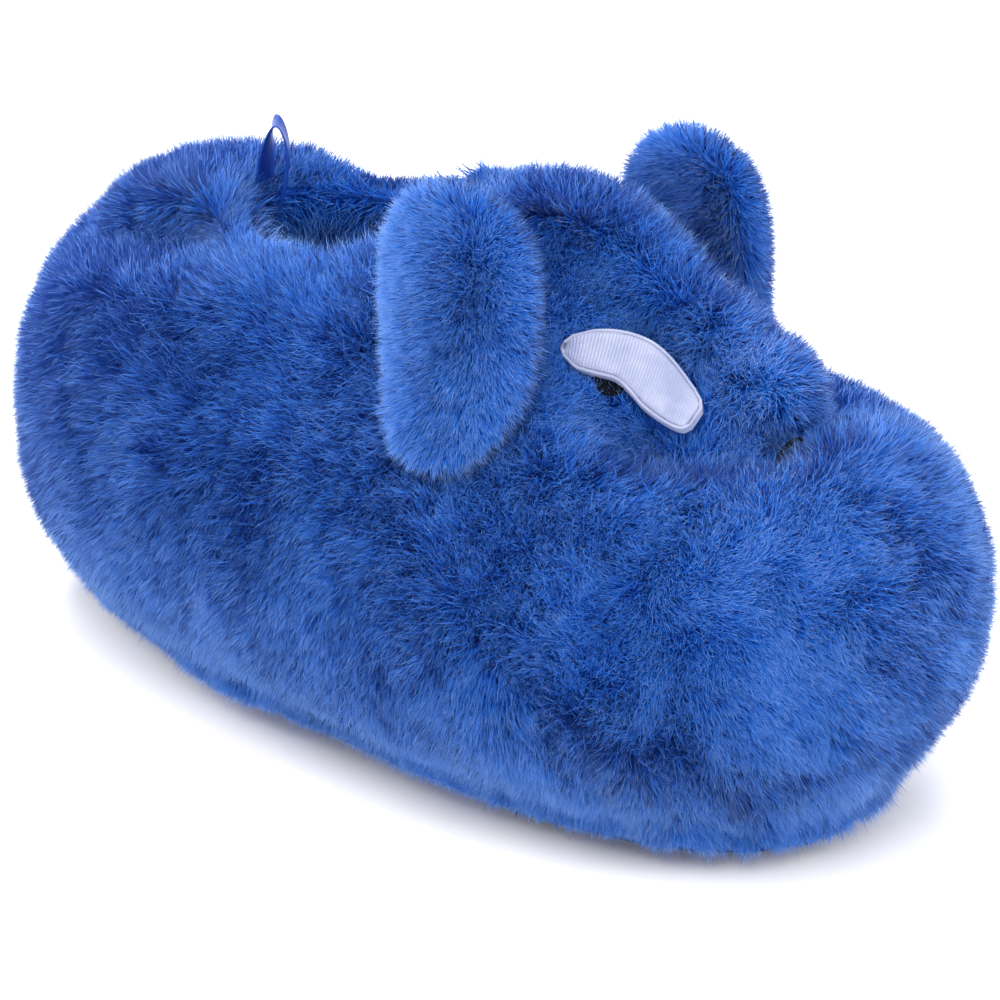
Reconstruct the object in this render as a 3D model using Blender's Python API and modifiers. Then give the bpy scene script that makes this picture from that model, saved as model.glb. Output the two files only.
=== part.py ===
"""A child's house slipper: a plush animal head in one blue, with a flat textile sole.

Metres. X runs from the heel to the toe, +Y is the slipper's left side, and Z is up. The origin is
the middle of the sole's underside, which stands on the floor at z = 0. The outer form is the
pile's surface, and the fabric and its backing lie inside the same wall.
"""
import bmesh
import bpy
import numpy as np
from mathutils import Vector
from mathutils.bvhtree import BVHTree

# Named sizes
LENGTH = 0.190          # heel to toe, over the pile
BALL_WIDTH = 0.096      # widest part, over the pile
INSTEP_HEIGHT = 0.0985  # top of the animal's forehead
SIDE_HEIGHT = 0.075     # quarters below the ankle
HEEL_HEIGHT = 0.082     # top of the heel roll
SOLE_MIDDLE = 0.092     # from the back of the heel to the middle of the sole
SOLE_THICKNESS = 0.0030
SOLE_EDGE = 0.0008      # bevel under the rim
INSOLE_THICKNESS = 0.0040
INSOLE_EDGE = 0.0005
HEM_DROP = 0.0016       # how far the longest locks hang below the seam with the sole
GAP = 0.0003            # between neighbours that meet flat
SOFT_GAP = 0.0005       # between neighbours that meet on a curve
RIBBON_WIDTH = 0.0060
RIBBON_THICKNESS = 0.0006
EYE_HALF_LENGTH = 0.0126
NOSTRIL_HALF_LENGTH = 0.0025
EMBROIDERY_THICKNESS = 0.0014
EAR_WIDTH = 0.0296
EAR_HEIGHT = 0.0441
EAR_HALF_THICKNESS = 0.0058
EAR_BOW = 0.0050        # how far the tip of an ear bows out over the cheek
LOCK_RELIEF = 0.0032
SEED = 7

# How finely the upper is meshed, and how many of its columns and rows one lock of pile covers
COLUMNS = 80
OUTER_ROWS = 37
LINING_ROWS = 12
OUTLINE_POINTS = 48
LOCK_COLUMNS = 5
LOCK_ROWS = 4
LOCK_SPACING = 0.0040    # row spacing at which the locks reach their full relief

# Each loop runs once round the slipper, level by level. Lengths are shares of LENGTH, the half
# width of BALL_WIDTH, and the heights of INSTEP_HEIGHT, SIDE_HEIGHT and HEEL_HEIGHT in turn.
LOOP_COLUMNS = ("toe_x", "heel_x", "half_width", "toe_z", "side_z", "heel_z",
                "widest", "toe_square", "heel_square")
LOOPS = (
    ("hem",          0.902, 0.066, 0.311, 0.034, 0.044, 0.040, 0.63, 2.30, 2.30),
    ("lower side",   0.964, 0.012, 0.437, 0.166, 0.180, 0.190, 0.63, 2.30, 2.35),
    ("ball",         0.999, 0.000, 0.500, 0.343, 0.372, 0.400, 0.63, 2.20, 2.35),
    ("toe cushion",  0.995, 0.004, 0.484, 0.538, 0.565, 0.606, 0.62, 2.05, 2.30),
    ("cheek",        0.955, 0.041, 0.420, 0.673, 0.735, 0.778, 0.60, 1.88, 2.15),
    ("muzzle top",   0.902, 0.095, 0.357, 0.731, 0.850, 0.902, 0.58, 1.80, 2.00),
    ("nose",         0.844, 0.150, 0.325, 0.766, 0.925, 0.973, 0.54, 1.80, 1.92),
    ("brow",         0.783, 0.198, 0.312, 0.812, 0.973, 1.000, 0.51, 1.86, 1.90),
    ("forehead",     0.717, 0.228, 0.290, 0.930, 1.005, 1.000, 0.48, 1.93, 1.90),
    ("crown",        0.641, 0.242, 0.257, 0.999, 1.035, 0.996, 0.46, 2.00, 1.92),
    ("collar front", 0.569, 0.248, 0.220, 0.980, 1.050, 0.992, 0.45, 2.00, 1.95),
    ("collar",       0.502, 0.252, 0.180, 0.932, 1.050, 0.976, 0.44, 2.00, 2.00),
)
LINING = (
    ("collar edge",  0.500, 0.257, 0.166, 0.900, 1.015, 0.943, 0.44, 2.00, 2.00),
    ("throat",       0.506, 0.256, 0.164, 0.850, 0.950, 0.885, 0.44, 2.00, 2.00),
    ("instep",       0.560, 0.240, 0.184, 0.772, 0.861, 0.800, 0.45, 2.00, 2.00),
    ("waist",        0.660, 0.200, 0.224, 0.704, 0.760, 0.718, 0.48, 2.00, 2.00),
    ("vamp",         0.760, 0.135, 0.270, 0.627, 0.659, 0.614, 0.52, 2.00, 2.10),
    ("toe roof",     0.850, 0.085, 0.328, 0.520, 0.532, 0.487, 0.58, 2.10, 2.20),
    ("toe box",      0.905, 0.058, 0.378, 0.386, 0.380, 0.348, 0.62, 2.20, 2.30),
    ("foot",         0.912, 0.055, 0.382, 0.232, 0.228, 0.209, 0.63, 2.30, 2.30),
    ("foot bed",     0.890, 0.078, 0.318, 0.097, 0.114, 0.104, 0.63, 2.30, 2.30),
    ("seam",         0.860, 0.108, 0.232, 0.0335, 0.0440, 0.0402, 0.63, 2.30, 2.30),
)
# Flat outlines with the same columns: where the upper sits on the sole, and the two soles
FLAT_LOOPS = (
    ("seat",    0.897, 0.071, 0.301, 0.0335, 0.0440, 0.0402, 0.63, 2.30, 2.30),
    ("outsole", 0.893, 0.075, 0.293, 0.0, 0.0, 0.0, 0.63, 2.30, 2.30),
    ("insole",  0.856, 0.112, 0.226, 0.0, 0.0, 0.0, 0.63, 2.30, 2.30),
)

# Soft folds of the stuffed face and the heel, the same on both sides: from one point to the other
# in shares of LENGTH, BALL_WIDTH and INSTEP_HEIGHT, then how far the fold reaches and how far it
# raises the pile, in shares of LENGTH.
FOLDS = (
    ("smile trough",   (0.785, 0.222, 0.698), (0.862, 0.119, 0.706), 0.024, -0.024),
    ("nose trough",    (0.862, 0.119, 0.706), (0.880, 0.000, 0.725), 0.028, -0.013),
    ("eye socket",     (0.720, 0.208, 0.820), (0.775, 0.139, 0.781), 0.035, -0.010),
    ("behind the eye", (0.655, 0.247, 0.907), (0.690, 0.257, 0.752), 0.032, -0.018),
    ("lower lid",      (0.725, 0.267, 0.723), (0.800, 0.188, 0.743), 0.018, 0.010),
    ("snout",          (0.800, 0.000, 0.791), (0.830, 0.000, 0.772), 0.050, 0.012),
    ("jowl",           (0.860, 0.257, 0.559), (0.940, 0.119, 0.579), 0.060, 0.006),
    ("ear root",       (0.585, 0.208, 0.868), (0.650, 0.218, 0.829), 0.034, 0.008),
    ("heel fold",      (0.120, 0.237, 0.694), (0.290, 0.228, 0.772), 0.020, -0.018),
    ("heel roll",      (0.130, 0.119, 0.810), (0.240, 0.139, 0.829), 0.035, 0.006),
)

# Where the pile is trimmed short, in the same shares: centre and reach
TRIMMED = (
    ("eye",     (0.742, 0.154, 0.772), 0.085),
    ("nostril", (0.874, 0.079, 0.698), 0.035),
)

# The two ears hang from the sides of the crown, and each has settled a little differently.
# Shares of LENGTH, BALL_WIDTH and SIDE_HEIGHT, then of EAR_WIDTH and EAR_HEIGHT, then degrees: how
# far the tip leans forward, flares out, and turns.
EAR_COLUMNS = ("side", "x", "y", "z", "half_width", "half_height", "lean", "flare", "turn")
EARS = (
    ("ear_right", -1, 0.610, 0.301, 1.082, 0.500, 0.500, 6.0, 7.0, 2.0),
    ("ear_left",   1, 0.625, 0.305, 1.044, 0.482, 0.492, -10.0, 13.0, -5.0),
)

# Sewn patches of the face, drawn in a plane of their own and laid on the pile: the centre in shares
# of LENGTH, BALL_WIDTH and INSTEP_HEIGHT, the direction it faces and the direction it runs.
PATCH_PLACES = (
    ("eye",     (0.742, 0.154, 0.772), (0.36, 0.62, 0.70), (0.975, -0.16, -0.20)),
    ("nostril", (0.872, 0.083, 0.698), (0.10, 0.25, 0.96), (0.35, -0.94, 0.0)),
)

# An outline has a row for each station along it, with the lower and the upper edge, in shares of
# the patch's half length.
WHITE_OUTLINE = (
    (-1.00, -0.16, -0.10),
    (-0.94, -0.24, 0.01),
    (-0.72, -0.33, 0.18),
    (-0.47, -0.32, 0.33),
    (-0.20, -0.25, 0.41),
    (0.05, -0.28, 0.42),
    (0.30, -0.37, 0.35),
    (0.55, -0.41, 0.21),
    (0.80, -0.38, 0.04),
    (0.94, -0.30, -0.08),
    (1.00, -0.22, -0.16),
)
PUPIL_OUTLINE = (
    (-0.50, -0.42, -0.375),
    (-0.34, -0.50, -0.340),
    (-0.14, -0.54, -0.305),
    (0.05, -0.50, -0.335),
    (0.22, -0.44, -0.400),
)
NOSTRIL_OUTLINE = (
    (-1.00, -0.12, 0.12),
    (-0.60, -0.46, 0.46),
    (0.00, -0.62, 0.62),
    (0.60, -0.46, 0.46),
    (1.00, -0.12, 0.12),
)

# The ribbon's path in the middle plane, in shares of LENGTH and HEEL_HEIGHT, with its twist in
# degrees
RIBBON_PATH = (
    ("inner end",  0.2640, 0.867, 0),
    ("inner leg",  0.2640, 0.938, 0),
    ("inner bow",  0.2655, 1.020, -10),
    ("inner turn", 0.2700, 1.080, -22),
    ("top",        0.2770, 1.105, -28),
    ("outer turn", 0.2845, 1.080, -22),
    ("outer bow",  0.2850, 1.020, -10),
    ("outer leg",  0.2760, 0.938, 0),
    ("outer end",  0.2710, 0.867, 0),
)

COLOURS = {
    "pile": (0.030, 0.105, 0.500, 1.0),
    "sole": (0.020, 0.060, 0.260, 1.0),
    "fleece": (0.110, 0.200, 0.420, 1.0),
    "white thread": (0.800, 0.810, 0.900, 1.0),
    "black thread": (0.012, 0.012, 0.015, 1.0),
    "ribbon": (0.020, 0.090, 0.480, 1.0),
}
ROUGHNESS = {"pile": 0.9, "sole": 0.8, "fleece": 0.95, "white thread": 0.5,
             "black thread": 0.5, "ribbon": 0.35}

SHARE_OF = {"toe_x": LENGTH, "heel_x": LENGTH, "half_width": BALL_WIDTH, "toe_z": INSTEP_HEIGHT,
            "side_z": SIDE_HEIGHT, "heel_z": HEEL_HEIGHT, "widest": 1.0, "toe_square": 1.0,
            "heel_square": 1.0}


FACE_SIZES = np.array((LENGTH, BALL_WIDTH, INSTEP_HEIGHT))


def clear_scene():
    for obj in list(bpy.data.objects):
        bpy.data.objects.remove(obj, do_unlink=True)


def material(name):
    made = bpy.data.materials.get(name)
    if made is None:
        made = bpy.data.materials.new(name)
        made.use_nodes = True
        shader = made.node_tree.nodes["Principled BSDF"]
        shader.inputs["Base Color"].default_value = COLOURS[name]
        shader.inputs["Roughness"].default_value = ROUGHNESS[name]
        made.diffuse_color = COLOURS[name]
    return made


def add_object(name, bm, finish, collection):
    """Turns a bmesh into a named object with its faces pointing outward."""
    bm.normal_update()
    bmesh.ops.recalc_face_normals(bm, faces=bm.faces)
    mesh = bpy.data.meshes.new(name)
    bm.to_mesh(mesh)
    bm.free()
    mesh.materials.append(material(finish))
    obj = bpy.data.objects.new(name, mesh)
    collection.objects.link(obj)
    return obj


def smooth_column(values, t):
    """A value from a table's column at a fractional row, on a curve through every row."""
    v = np.asarray(values, float)
    i = np.clip(np.floor(t).astype(int), 0, len(v) - 2)
    f = t - i
    here, after = v[i], v[i + 1]
    before = np.where(i > 0, v[np.maximum(i - 1, 0)], 2 * here - after)
    beyond = np.where(i < len(v) - 2, v[np.minimum(i + 2, len(v) - 1)], 2 * after - here)
    rise_here, rise_after = (after - before) / 2, (beyond - here) / 2
    return ((2 * f**3 - 3 * f**2 + 1) * here + (f**3 - 2 * f**2 + f) * rise_here
            + (-2 * f**3 + 3 * f**2) * after + (f**3 - f**2) * rise_after)


def ring_angles(count):
    """Angles round a loop from the toe, set closer together at the toe."""
    u = np.linspace(0, 2 * np.pi, count, endpoint=False)
    return u - 0.25 * np.sin(u)


def loop_points(table, t, angle):
    """Points of a table's loops at fractional rows t: an array of rows, columns and xyz."""
    c = {}
    for k, name in enumerate(LOOP_COLUMNS):
        values = [row[k + 1] for row in table]
        c[name] = smooth_column(values, t)[:, None] * SHARE_OF[name]
    cos, sin = np.cos(angle)[None, :], np.sin(angle)[None, :]
    power = 2 / np.where(cos > 0, c["toe_square"], c["heel_square"])
    along = np.sign(cos) * np.abs(cos) ** power
    across = np.sign(sin) * np.abs(sin) ** power
    middle = c["heel_x"] + (c["toe_x"] - c["heel_x"]) * c["widest"]
    x = middle + np.where(cos > 0, c["toe_x"] - middle, middle - c["heel_x"]) * along
    y = -c["half_width"] * across
    end_z = np.where(cos > 0, c["toe_z"], c["heel_z"])
    z = c["side_z"] + (end_z - c["side_z"]) * along**2
    return np.stack([x, y, z], axis=-1)


def flat_outline(row, z, count):
    points = loop_points((row, row), np.zeros(1), ring_angles(count))[0]
    points[:, 2] = z
    return points


def outward(grid):
    """Unit vectors away from the foot at each point of a grid of loops."""
    up = np.gradient(grid, axis=0)
    around = np.roll(grid, -1, axis=1) - np.roll(grid, 1, axis=1)
    normal = np.cross(up, around)
    length = np.linalg.norm(normal, axis=-1, keepdims=True)
    return normal / np.maximum(length, 1e-12)


def mirrored(points):
    """The left side's points folded onto the right side."""
    return np.stack([points[..., 0], np.abs(points[..., 1]), points[..., 2]], axis=-1)


def fold_height(points):
    p = mirrored(points)
    total = np.zeros(p.shape[:-1])
    for _, start, end, reach, height in FOLDS:
        a, b = np.array(start) * FACE_SIZES, np.array(end) * FACE_SIZES
        s = np.clip(((p - a) @ (b - a)) / ((b - a) @ (b - a)), 0, 1)
        away = np.linalg.norm(p - (a + s[..., None] * (b - a)), axis=-1)
        total += height * LENGTH * np.exp(-((away / (reach * LENGTH)) ** 2))
    return total


def pile_share(points):
    """1 where the pile stands at its full height, falling to 0 where it is trimmed."""
    p = mirrored(points)
    share = np.ones(p.shape[:-1])
    for _, centre, reach in TRIMMED:
        away = np.linalg.norm(p - np.array(centre) * FACE_SIZES, axis=-1)
        share *= 1 - np.exp(-((away / (reach * LENGTH)) ** 4))
    return share


def lock_height(rows, columns, generator):
    """Rows of overlapping locks: each rises from its root down to a rounded tip."""
    row = np.arange(rows)[:, None] + np.zeros((1, columns))
    col = np.arange(columns)[None, :] + np.zeros((rows, 1))
    cells = columns // LOCK_COLUMNS
    bands = rows // LOCK_ROWS + 2
    strength = generator.uniform(0.35, 1.0, (bands, cells))
    band = np.floor(row / LOCK_ROWS).astype(int)
    u = col / LOCK_COLUMNS + 0.5 * (band % 2)
    side = np.abs(u % 1.0 - 0.5) * 2
    drop = (row / LOCK_ROWS) % 1.0
    rise = np.clip(1 - drop - 0.30 * side**2, 0, 1)
    picked = strength[band, np.floor(u).astype(int) % cells]
    return LOCK_RELIEF * (picked * rise * (1 - side**2) - 0.22)


def grid_faces(bm, rows, closed_rows):
    """Quads between rows of vertices whose columns run round in a loop."""
    count = len(rows)
    for i in range(count if closed_rows else count - 1):
        low, high = rows[i], rows[(i + 1) % count]
        for j in range(len(low)):
            k = (j + 1) % len(low)
            bm.faces.new((low[j], low[k], high[k], high[j]))


def upper_points():
    """The upper's loops: up the pile to the collar, down the lining and out to the hem again."""
    angle = ring_angles(COLUMNS)
    pile = loop_points(LOOPS, np.linspace(0, len(LOOPS) - 1, OUTER_ROWS), angle)
    pile = pile + outward(pile) * fold_height(pile)[..., None]
    locks = lock_height(OUTER_ROWS, COLUMNS, np.random.default_rng(SEED))
    spacing = np.linalg.norm(np.gradient(pile, axis=0), axis=-1)
    locks *= pile_share(pile) * np.clip(spacing / LOCK_SPACING, 0, 1) ** 2
    locks[0] = 0.0
    pile = pile + outward(pile) * locks[..., None]
    hem = np.random.default_rng(SEED + 1).uniform(0.0, HEM_DROP, COLUMNS)
    pile[0, :, 2] = SOLE_THICKNESS + GAP - hem
    lining = loop_points(LINING, np.linspace(0, len(LINING) - 1, LINING_ROWS), angle)
    seat = loop_points(FLAT_LOOPS[:1] * 2, np.zeros(1), angle)
    lining[-1, :, 2] = SOLE_THICKNESS + GAP
    seat[0, :, 2] = SOLE_THICKNESS + GAP
    return np.concatenate([pile, lining, seat])


def build_upper(collection):
    bm = bmesh.new()
    rows = [[bm.verts.new(p) for p in ring] for ring in upper_points()]
    grid_faces(bm, rows, closed_rows=True)
    bmesh.ops.recalc_face_normals(bm, faces=bm.faces)
    surface = BVHTree.FromBMesh(bm)
    add_object("upper", bm, "pile", collection)
    return surface


def build_flat(name, row, bottom, thickness, edge, finish, collection):
    """A flat sheet of a loop's outline with its lower edge rounded off."""
    bm = bmesh.new()
    outline = [bm.verts.new(p) for p in flat_outline(row, bottom, OUTLINE_POINTS)]
    face = bm.faces.new(outline)
    raised = bmesh.ops.extrude_face_region(bm, geom=[face])
    lifted = [v for v in raised["geom"] if isinstance(v, bmesh.types.BMVert)]
    bmesh.ops.translate(bm, vec=(0, 0, thickness), verts=lifted)
    low = [e for e in bm.edges if all(abs(v.co.z - bottom) < 1e-7 for v in e.verts)]
    bmesh.ops.bevel(bm, geom=low, offset=edge, segments=1, affect="EDGES")
    add_object(name, bm, finish, collection)


def turn(vector, axis, degrees):
    angle = np.radians(degrees)
    axis = np.asarray(axis, float)
    return (vector * np.cos(angle) + np.cross(axis, vector) * np.sin(angle)
            + axis * (axis @ vector) * (1 - np.cos(angle)))


def ear_axes(ear):
    """Across, down and outward directions of an ear after its lean, flare and turn."""
    axes = [np.array((1.0, 0, 0)), np.array((0, 0, -1.0)), np.array((0, 1.0, 0))]
    axes = [turn(v, (0, 1, 0), -ear["lean"]) for v in axes]
    axes = [turn(v, (1, 0, 0), ear["flare"]) for v in axes]
    axes = [turn(v, (0, 0, 1), ear["turn"]) for v in axes]
    return [v * (1, ear["side"], 1) for v in axes]


def build_ear(name, ear, surface, collection):
    """A stuffed pad with a squared outline and locks round its rim, kept clear of the head."""
    across, down, out = ear_axes(ear)
    centre = np.array((ear["x"] * LENGTH, ear["side"] * ear["y"] * BALL_WIDTH, ear["z"] * SIDE_HEIGHT))
    generator = np.random.default_rng(SEED + 5)
    bm = bmesh.new()
    bmesh.ops.create_uvsphere(bm, u_segments=30, v_segments=12, radius=1.0)
    fringe = generator.uniform(-0.045, 0.045, 30)
    for v in bm.verts:
        radius = np.hypot(v.co.x, v.co.y)
        angle = np.arctan2(v.co.y, v.co.x)
        cos, sin = np.cos(angle), np.sin(angle)
        square = (abs(cos) ** 2.6 + abs(sin) ** 2.6) ** (-1 / 2.6)
        lock = fringe[int(round(angle / (2 * np.pi) * 30)) % 30] * radius**4
        a = cos * square * radius * (1 + lock)
        b = sin * square * radius * (1 + lock)
        thick = np.sign(v.co.z) * abs(v.co.z) ** 0.75
        point = centre + across * a * (1 - 0.10 * b) * ear["half_width"] * EAR_WIDTH
        point = point + down * b * ear["half_height"] * EAR_HEIGHT
        bow = EAR_BOW * max(b, 0.0) ** 2 - 0.4 * EAR_BOW * a * a
        point = point + out * (thick * EAR_HALF_THICKNESS + bow)
        v.co = keep_clear(Vector(point), surface, SOFT_GAP)
    for _ in range(24):
        press_off(bm, surface)
    add_object(name, bm, "pile", collection)


def keep_clear(point, surface, distance):
    """Moves a point that is nearer to the upper than a distance, or inside it, out to it."""
    near, normal, _, away = surface.find_nearest(point)
    if (point - near).dot(normal) < 0 or away < distance:
        return near + normal * distance
    return point


def press_off(bm, surface):
    """Lifts each face that still cuts into the upper between its corners."""
    for face in bm.faces:
        for spot in [face.calc_center_median()] + [(e.verts[0].co + e.verts[1].co) / 2 for e in face.edges]:
            near, normal, _, away = surface.find_nearest(spot)
            depth = SOFT_GAP - away * (1 if (spot - near).dot(normal) > 0 else -1)
            if depth > 0:
                for v in face.verts:
                    v.co += normal * depth * 0.5


def patch_stations(outline, count):
    """The outline's rows at more stations, spread out so that they close up at the ends."""
    along = [row[0] for row in outline]
    s = -np.cos(np.linspace(0.12, np.pi - 0.12, count)) / np.cos(0.12)
    t = np.interp(along[0] + (s + 1) / 2 * (along[-1] - along[0]), along, range(len(outline)))
    return [tuple(smooth_column([row[k] for row in outline], t)[i] for k in range(3))
            for i in range(count)]


def build_patch(name, outline, half_length, placing, finish, surface, collection, lift=SOFT_GAP):
    """A sewn patch, laid on the upper along the direction it faces and thickened outward."""
    side, _, centre, faces, along = placing
    flip = np.array((1, side, 1))
    normal = np.array(faces) * flip
    normal = normal / np.linalg.norm(normal)
    run = np.array(along) * flip
    run = run - normal * (run @ normal)
    run = run / np.linalg.norm(run)
    up = np.cross(normal, run) * -side
    middle = np.array(centre) * flip * FACE_SIZES
    above = LENGTH / 10
    bm = bmesh.new()
    rows = []
    for s, low, high in patch_stations(outline, 10):
        row = []
        for share in np.linspace(0, 1, 4):
            flat = middle + run * s * half_length + up * (low + (high - low) * share) * half_length
            hit = surface.ray_cast(Vector(flat + normal * above), Vector(-normal), 3 * above)[0]
            row.append(bm.verts.new(hit + Vector(normal) * lift))
        rows.append(row)
    for low, high in zip(rows, rows[1:]):
        for j in range(3):
            bm.faces.new((low[j], low[j + 1], high[j + 1], high[j]))
    bmesh.ops.recalc_face_normals(bm, faces=bm.faces)
    bm.faces.ensure_lookup_table()
    bm.normal_update()
    if bm.faces[0].normal.dot(Vector(normal)) < 0:
        bmesh.ops.reverse_faces(bm, faces=bm.faces)
    mesh = bpy.data.meshes.new(name)
    bm.to_mesh(mesh)
    bm.free()
    mesh.materials.append(material(finish))
    obj = bpy.data.objects.new(name, mesh)
    collection.objects.link(obj)
    solid = obj.modifiers.new("thickness", "SOLIDIFY")
    solid.thickness = EMBROIDERY_THICKNESS
    solid.offset = 1.0


def build_pull_loop(collection):
    """A folded ribbon sewn inside the back of the collar."""
    t = np.linspace(0, len(RIBBON_PATH) - 1, 19)
    x = smooth_column([row[1] for row in RIBBON_PATH], t) * LENGTH
    z = smooth_column([row[2] for row in RIBBON_PATH], t) * HEEL_HEIGHT
    twist = np.radians(smooth_column([row[3] for row in RIBBON_PATH], t))
    bm = bmesh.new()
    rows = []
    for px, pz, angle in zip(x, z, twist):
        edge = np.array((np.sin(angle), np.cos(angle), 0)) * RIBBON_WIDTH / 2
        rows.append([bm.verts.new(np.array((px, 0, pz)) + edge * s) for s in (-1, 1)])
    for low, high in zip(rows, rows[1:]):
        bm.faces.new((low[0], low[1], high[1], high[0]))
    mesh = bpy.data.meshes.new("pull_loop")
    bm.to_mesh(mesh)
    bm.free()
    mesh.materials.append(material("ribbon"))
    obj = bpy.data.objects.new("pull_loop", mesh)
    collection.objects.link(obj)
    solid = obj.modifiers.new("thickness", "SOLIDIFY")
    solid.thickness = RIBBON_THICKNESS
    solid.offset = 0.0


def main():
    clear_scene()
    slipper = bpy.data.collections.new("house slipper")
    bpy.context.scene.collection.children.link(slipper)
    base = bpy.data.objects.new("slipper_base", None)
    base.location = (-SOLE_MIDDLE, 0, 0)
    slipper.objects.link(base)
    surface = build_upper(slipper)
    build_flat("outsole", FLAT_LOOPS[1], 0.0, SOLE_THICKNESS, SOLE_EDGE, "sole", slipper)
    build_flat("insole", FLAT_LOOPS[2], SOLE_THICKNESS + GAP, INSOLE_THICKNESS, INSOLE_EDGE,
               "fleece", slipper)
    for name, *values in EARS:
        build_ear(name, dict(zip(EAR_COLUMNS, values)), surface, slipper)
    for word, side in (("left", 1), ("right", -1)):
        eye, nostril = [(side, *row) for row in PATCH_PLACES]
        build_patch("eye_white_" + word, WHITE_OUTLINE, EYE_HALF_LENGTH, eye,
                    "white thread", surface, slipper)
        build_patch("eye_pupil_" + word, PUPIL_OUTLINE, EYE_HALF_LENGTH, eye,
                    "black thread", surface, slipper)
        build_patch("nostril_" + word, NOSTRIL_OUTLINE, NOSTRIL_HALF_LENGTH, nostril,
                    "black thread", surface, slipper)
    build_pull_loop(slipper)
    for obj in slipper.objects:
        if obj is not base:
            obj.parent = base


main()
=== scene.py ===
"""The slipper's finished look: long pile on a stuffed upper, embroidered eyes, satin pull loop.

Metres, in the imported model's own frame: the origin is the middle of the sole's underside, X runs to
the toe, +Y is the slipper's left side and Z is up.
"""

import bmesh
import bpy
import numpy as np
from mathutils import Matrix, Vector
from mathutils.bvhtree import BVHTree
from mathutils.kdtree import KDTree


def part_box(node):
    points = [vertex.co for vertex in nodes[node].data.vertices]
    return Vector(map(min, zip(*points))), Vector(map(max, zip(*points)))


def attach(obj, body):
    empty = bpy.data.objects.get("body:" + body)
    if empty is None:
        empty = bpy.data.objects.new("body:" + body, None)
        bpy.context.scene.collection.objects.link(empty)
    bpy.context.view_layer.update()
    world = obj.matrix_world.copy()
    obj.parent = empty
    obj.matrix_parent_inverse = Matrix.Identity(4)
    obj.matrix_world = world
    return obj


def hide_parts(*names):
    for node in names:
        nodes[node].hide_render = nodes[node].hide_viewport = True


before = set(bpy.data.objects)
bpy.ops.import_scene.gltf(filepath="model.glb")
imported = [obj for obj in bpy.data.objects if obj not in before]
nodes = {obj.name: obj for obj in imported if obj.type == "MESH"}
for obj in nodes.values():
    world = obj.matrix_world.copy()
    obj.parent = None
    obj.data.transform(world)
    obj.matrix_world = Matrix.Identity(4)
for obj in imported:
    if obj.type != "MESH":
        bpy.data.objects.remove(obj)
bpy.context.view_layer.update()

# The shoe's own sizes
LENGTH = 0.190
HEEL_BACK = -0.092          # x of the back of the heel
OPENING_X = -0.0203         # middle of the foot opening
PILE_DEPTH = 0.0032         # from the backing cloth to the tips on the body
EAR_PILE_DEPTH = 0.0026
TIP_REACH = 0.0012          # how far the longest tips stand above the pile's surface
HAIR_WIDTH = 0.00025

# The eye's and the nostril's places on the right side: centre, direction faced, direction of its
# run, half length. The left ones are their mirror.
EYE = ((0.04898, -0.01478, 0.07604), (0.36, -0.62, 0.70), (0.975, 0.16, -0.20), 0.0126)
NOSTRIL = ((0.07368, -0.00797, 0.06875), (0.10, -0.25, 0.96), (0.35, 0.94, 0.0), 0.0025)

# Outlines with a row for each station along the run, then the lower and the upper edge
WHITE_OUTLINE = (
    (-1.00, -0.14, -0.06), (-0.94, -0.20, 0.05), (-0.72, -0.27, 0.22), (-0.47, -0.24, 0.34),
    (-0.20, -0.20, 0.41), (0.05, -0.26, 0.42), (0.30, -0.36, 0.36), (0.55, -0.42, 0.25),
    (0.80, -0.45, 0.12), (0.94, -0.43, 0.02), (1.00, -0.34, -0.08),
)
PUPIL_OUTLINE = (
    (-0.46, -0.27, -0.20), (-0.36, -0.36, -0.18), (-0.24, -0.39, -0.16), (-0.13, -0.36, -0.16), (-0.05, -0.28, -0.18),
)
NOSTRIL_OUTLINE = (
    (-1.00, -0.12, 0.12), (-0.60, -0.46, 0.46), (0.00, -0.62, 0.62), (0.60, -0.46, 0.46),
    (1.00, -0.12, 0.12),
)

# Hairs per piece
COAT_HAIRS = {"pile_heel": 185000, "pile_side": 185000, "pile_cheek": 190000, "pile_muzzle": 190000}
EAR_HAIRS = 52000
THROAT_HAIRS = 38000
FLEECE_HAIRS = 30000

# The ears' pads, as they hang: side, middle, half width, half height, half thickness, then degrees:
# how far the tip leans forward, flares out, and turns
EARS = (
    ("ear_right", -1, (0.02390, -0.02888, 0.08113), 0.01482, 0.02204, 0.0058, 6.0, 7.0, 2.0),
    ("ear_left", 1, (0.02675, 0.02926, 0.07828), 0.01425, 0.02166, 0.0058, -10.0, 13.0, -5.0),
)
EAR_BOW = 0.0050

# The ribbon's path in the middle plane in millimetres from the heel's back and the floor, with its
# twist in degrees
RIBBON_PATH = (
    (49.0, 71.1, -14), (48.7, 77.0, -10), (49.0, 83.6, -18), (49.9, 88.5, -33), (51.3, 90.8, -41),
    (53.0, 88.3, -42), (53.2, 83.6, -41), (51.7, 77.0, -39), (49.7, 71.1, -32),
)
RIBBON_WIDTH = 0.0060

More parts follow.
